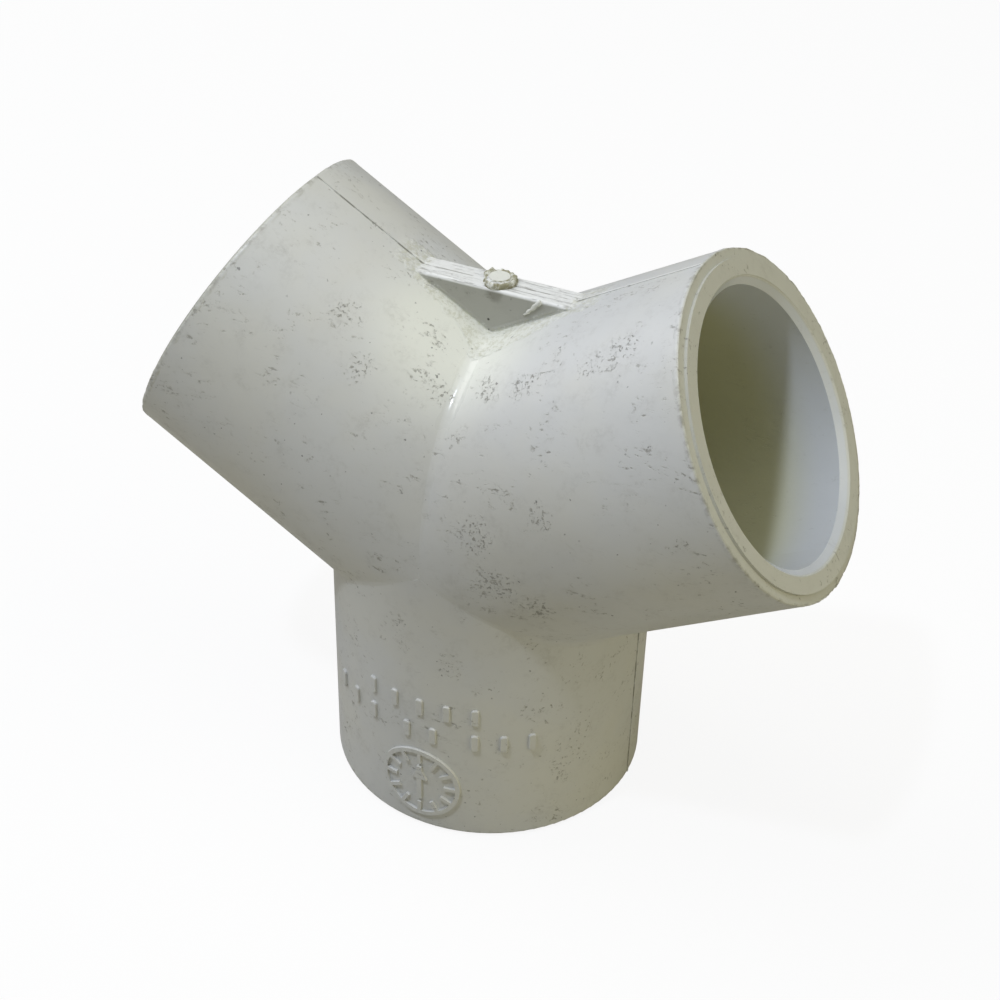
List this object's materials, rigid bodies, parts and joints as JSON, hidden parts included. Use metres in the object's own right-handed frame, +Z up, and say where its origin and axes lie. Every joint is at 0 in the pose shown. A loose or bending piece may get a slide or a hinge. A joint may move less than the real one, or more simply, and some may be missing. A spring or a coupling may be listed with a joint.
{
  "type": "wye pipe fitting",
  "caption": "Moulded plastic wye that joins pipes pushed into its slip sockets, set 120 degrees apart in one plane, with a web between the arms.",
  "frame": {"origin": "centre of the leg's mouth, in the plane of its rim", "axes": "+Z up along the leg's axis; the three socket axes lie in the plane y = 0; the arms rise towards +X and -X, 60 degrees either side of +Z; the raised marks face -Y"},
  "size_m": [0.0918, 0.0425, 0.08],
  "materials": {
    "white_pvc": "satin moulded PVC, off-white, scuffed and speckled with handling dirt"
  },
  "bodies": {
    "root": {"wye_body": "white_pvc"}
  },
  "joints": []
}
